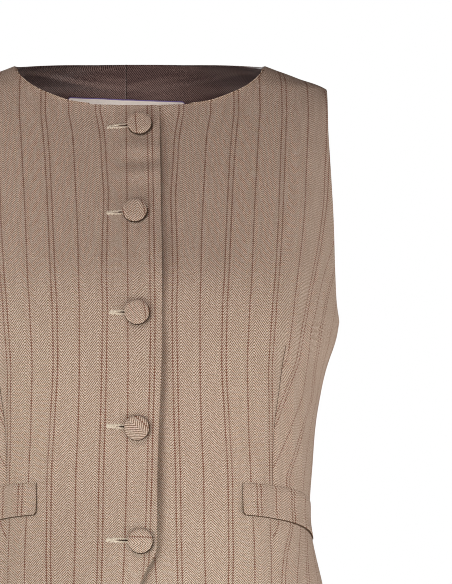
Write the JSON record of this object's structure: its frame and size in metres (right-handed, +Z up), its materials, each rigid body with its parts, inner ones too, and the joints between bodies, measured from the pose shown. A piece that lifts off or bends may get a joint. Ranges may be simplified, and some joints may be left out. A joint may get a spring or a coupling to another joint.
{
  "type": "suit waistcoat",
  "caption": "Collarless high-necked suit waistcoat in pinstriped herringbone wool, buttoned up the front, with waist darts, pocket flaps and a twill back lining; worn shape, hollow.",
  "frame": {"origin": "midway between the two shoulder seams, at the middle of their height, where the wearer's shoulders carry the garment", "axes": "+Z up, -Y out of the front, +X towards the wearer's left"},
  "size_m": [0.3186, 0.2291, 0.4738],
  "materials": {
    "wool": "matt herringbone wool with fine red-brown pinstripes",
    "lining": "dark brown satin-faced twill",
    "label": "cream woven tape, blank"
  },
  "bodies": {
    "root": {"front_right": "wool", "front_left": "wool", "back_right": "wool", "back_left": "wool", "flap_right": "wool", "flap_left": "wool", "lining_right": "lining", "lining_left": "lining", "label": "label", "button_1": "wool", "button_2": "wool", "button_3": "wool", "button_4": "wool", "button_5": "wool"}
  },
  "joints": []
}
